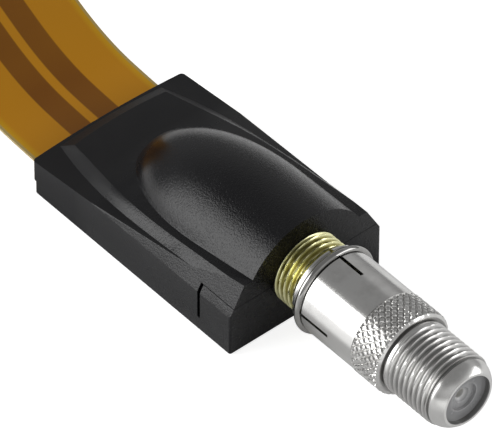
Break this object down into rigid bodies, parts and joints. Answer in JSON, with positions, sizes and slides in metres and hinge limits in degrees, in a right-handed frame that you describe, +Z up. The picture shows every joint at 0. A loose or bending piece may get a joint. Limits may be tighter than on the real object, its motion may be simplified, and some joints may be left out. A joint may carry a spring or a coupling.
{
  "type": "flat coaxial window lead with push-on f adapter",
  "caption": "Flat coaxial window lead with brass F jacks in black wedge housings at its ends, and a slotted push-on F adapter with a knurled grip on the near jack.",
  "frame": {"origin": "middle of the underside of the near housing", "axes": "+X out of the near jack along its axis, +Y to the left seen from behind the jack, +Z up"},
  "size_m": [0.2718, 0.0228, 0.0294],
  "materials": {
    "black_plastic": "fine matte grain",
    "brass": "turned, bright",
    "nickel": "bright nickel plate",
    "insulator": "smooth grey",
    "contact_metal": "plated",
    "solder": "bright",
    "copper_ribbon": "copper strips under clear amber film"
  },
  "bodies": {
    "lead": {"housing_base": "black_plastic", "housing_shell": "black_plastic", "jack_body": "brass", "jack_insulator": "insulator", "jack_contact": "contact_metal", "ground_lug": "contact_metal", "solder_joints": "solder", "far_housing_base": "black_plastic", "far_housing_shell": "black_plastic", "far_jack_body": "brass", "far_jack_insulator": "insulator", "far_jack_contact": "contact_metal", "far_ground_lug": "contact_metal", "far_solder_joints": "solder", "flat_cable": "copper_ribbon"},
    "ring": {"spring_ring": "nickel"},
    "adapter": {"adapter_body": "nickel", "adapter_front_insulator": "insulator", "adapter_rear_insulator": "insulator", "adapter_contact": "contact_metal"}
  },
  "joints": [
    {"name": "adapter_pull", "type": "slide", "parent": "lead", "child": "ring", "axis": [1, 0, 0], "range_m": [0, 0.01]},
    {"name": "adapter_turn", "type": "hinge", "parent": "ring", "child": "adapter", "pos_m": [0.0225, 0, 0.0071], "axis": [1, 0, 0], "continuous": true}
  ]
}
